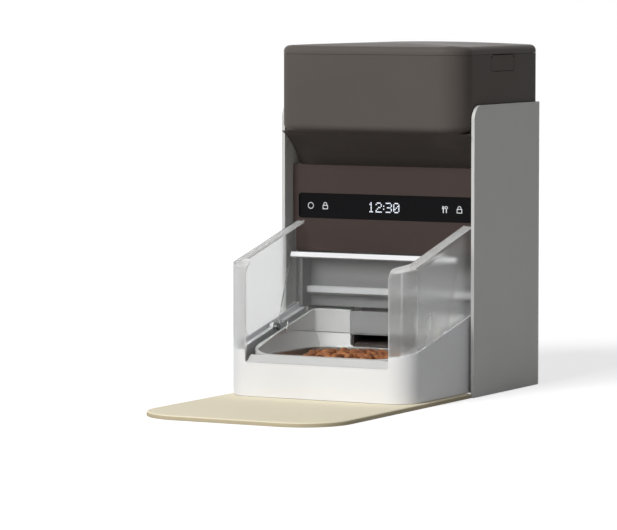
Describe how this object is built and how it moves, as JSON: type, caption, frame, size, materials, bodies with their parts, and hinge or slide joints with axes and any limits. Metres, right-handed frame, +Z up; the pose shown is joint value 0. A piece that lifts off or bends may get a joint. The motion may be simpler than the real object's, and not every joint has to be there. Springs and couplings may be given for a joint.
{
  "type": "microchip pet feeder",
  "caption": "Tower-shaped pet feeder with a food bin, metering rotor, display, steel bowl behind clear guards, powered flip lid and front mat.",
  "frame": {"origin": "on the ground, midway between the sides, in the plane of the outer cover's front edges, on the underside of the mat's tongue", "axes": "+Z up, the bowl and the mat face -Y, +X to the right as seen from the front"},
  "size_m": [0.216, 0.471, 0.3497],
  "materials": {
    "cover_grey": "fine satin moulding, light grey",
    "housing_brown": "satin dark brown",
    "fascia_brown": "satin dark brown",
    "seal_rubber": "soft grey rubber",
    "inner_white": "plain white moulding",
    "base_white": "satin white",
    "recess_grey": "satin light grey",
    "clear_plastic": "clear, slightly hazy plastic with bright edges",
    "bin_plastic": "translucent grey plastic",
    "window_black": "glossy black window",
    "board_green": "coated circuit board",
    "copper": "lacquered copper wire",
    "bowl_steel": "brushed stainless steel",
    "steel": "bright steel",
    "motor_metal": "plated metal can",
    "rotor_rubber": "soft flexible vanes",
    "bronze": "machined bronze",
    "gear_plastic": "natural acetal",
    "cell_wrap": "printed wrap left plain",
    "socket_black": "black moulding",
    "mat_beige": "soft matte silicone, beige"
  },
  "bodies": {
    "feeder": {"outer_cover": "cover_grey", "food_housing": "housing_brown", "food_bin": "bin_plastic", "dispenser_drum": "inner_white", "drum_end_cap": "inner_white", "rotor_bush": "bronze", "feed_motor": "motor_metal", "motor_bracket": "inner_white", "chute": "inner_white", "chute_cover": "recess_grey", "front_fascia": "fascia_brown", "display_window": "window_black", "display_board": "board_green", "antenna_coil": "copper", "recess_liner": "recess_grey", "recess_trim": "base_white", "side_frames": "inner_white", "base_shell": "base_white", "bottom_plate": "inner_white", "tray": "base_white", "guard_left": "clear_plastic", "guard_right": "clear_plastic", "idler_axle": "steel", "lid_motor": "motor_metal", "main_board": "board_green", "battery_box": "inner_white", "battery_cells": "cell_wrap", "battery_door": "inner_white", "power_socket": "socket_black", "feet": "seal_rubber", "mat": "mat_beige", "bottom_screws": "steel", "dispenser_screws": "steel"},
    "top_lid": {"top_lid": "housing_brown", "lid_seal": "seal_rubber", "desiccant_box": "inner_white", "desiccant_cover": "inner_white", "clip_pins": "steel"},
    "clip_left": {"lid_clip_left": "housing_brown"},
    "clip_right": {"lid_clip_right": "housing_brown"},
    "flip_lid": {"flip_lid": "clear_plastic", "lid_bumper": "base_white", "hinge_pins": "steel", "lid_gear": "gear_plastic"},
    "idler_gear": {"idler_gear": "gear_plastic"},
    "motor_pinion": {"motor_pinion": "bronze"},
    "feed_rotor": {"feed_rotor": "rotor_rubber", "rotor_shaft": "steel"},
    "bowl": {"bowl": "bowl_steel"}
  },
  "joints": [
    {"name": "flip_lid_hinge", "type": "hinge", "parent": "feeder", "child": "flip_lid", "pos_m": [0, -0.0399, 0.0656], "axis": [1, 0, 0], "range_deg": [0, 125]},
    {"name": "idler_turn", "type": "hinge", "parent": "feeder", "child": "idler_gear", "pos_m": [0.0887, -0.0399, 0.0475], "axis": [1, 0, 0], "continuous": true},
    {"name": "pinion_turn", "type": "hinge", "parent": "feeder", "child": "motor_pinion", "pos_m": [0.0887, -0.0399, 0.0318], "axis": [1, 0, 0], "continuous": true},
    {"name": "rotor_turn", "type": "hinge", "parent": "feeder", "child": "feed_rotor", "pos_m": [0, 0.095, 0.191], "axis": [1, 0, 0], "continuous": true},
    {"name": "top_lid_lift", "type": "slide", "parent": "feeder", "child": "top_lid", "axis": [0, 0, 1], "range_m": [0, 0.08]},
    {"name": "clip_left_swing", "type": "hinge", "parent": "top_lid", "child": "clip_left", "pos_m": [-0.1025, 0.0725, 0.337], "axis": [0, 1, 0], "range_deg": [0, 60]},
    {"name": "clip_right_swing", "type": "hinge", "parent": "top_lid", "child": "clip_right", "pos_m": [0.1025, 0.0725, 0.337], "axis": [0, -1, 0], "range_deg": [0, 60]},
    {"name": "bowl_lift", "type": "slide", "parent": "feeder", "child": "bowl", "axis": [0, 0, 1], "range_m": [0, 0.007]}
  ],
  "couplings": [
    {"joint": "idler_turn", "follows": "flip_lid_hinge", "ratio": -0.5},
    {"joint": "pinion_turn", "follows": "flip_lid_hinge", "ratio": 1.6667}
  ]
}
